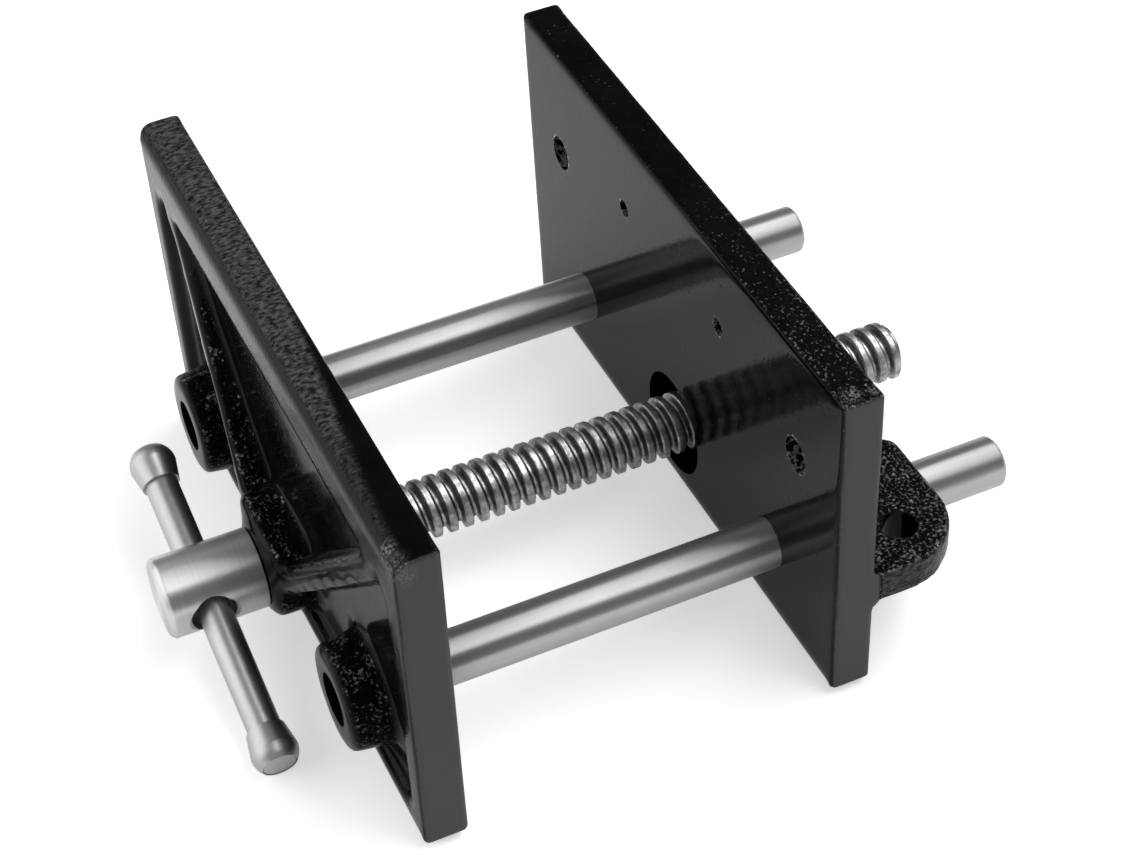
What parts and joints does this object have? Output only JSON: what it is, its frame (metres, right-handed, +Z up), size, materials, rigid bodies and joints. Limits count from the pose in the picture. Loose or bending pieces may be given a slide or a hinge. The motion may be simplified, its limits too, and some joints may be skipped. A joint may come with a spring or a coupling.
{
  "type": "woodworking vise",
  "caption": "Woodworking bench vise whose ribbed front jaw slides on guide rods and is drawn to the eared rear jaw by a lead screw with a sliding bar handle.",
  "frame": {"origin": "midway between the two bench bolt holes, on the top plane of the rear jaw's ears, where they meet the underside of the bench", "axes": "+X along the jaws to the right as seen from the handle, +Y from the front jaw to the rear jaw and on under the bench, +Z up"},
  "size_m": [0.165, 0.1928, 0.0894],
  "materials": {
    "black_casting": "rough sand-cast iron under satin black paint",
    "turned_steel": "bright, fine turned",
    "thread_steel": "rolled thread, darker in the grooves, crests worn bright",
    "plain_steel": "plain",
    "black_steel": "blackened"
  },
  "bodies": {
    "fixed_jaw": {"rear_jaw": "black_casting", "screw_nut": "plain_steel", "nut_set_screw": "black_steel"},
    "sliding_jaw": {"front_jaw": "black_casting", "left_guide_rod": "turned_steel", "right_guide_rod": "turned_steel", "left_rod_pin": "plain_steel", "right_rod_pin": "plain_steel", "thrust_washer": "plain_steel"},
    "screw": {"lead_screw": "thread_steel", "screw_head": "turned_steel", "head_pin": "plain_steel", "retaining_collar": "plain_steel", "collar_pin": "plain_steel"},
    "handle": {"handle_bar": "turned_steel", "left_bar_stop": "turned_steel", "right_bar_stop": "turned_steel"}
  },
  "joints": [
    {"name": "jaw_slide", "type": "slide", "parent": "fixed_jaw", "child": "sliding_jaw", "axis": [0, 1, 0], "range_m": [-0.0245, 0.0893]},
    {"name": "screw_turn", "type": "hinge", "parent": "sliding_jaw", "child": "screw", "pos_m": [0, -0.13, -0.016], "axis": [0, 1, 0], "range_deg": [-2206, 8038]},
    {"name": "handle_slide", "type": "slide", "parent": "screw", "child": "handle", "axis": [0.957, 0, -0.2903], "range_m": [-0.0302, 0.019]}
  ],
  "couplings": [
    {"joint": "screw_turn", "follows": "jaw_slide", "rad_per_m": 1570.8}
  ]
}
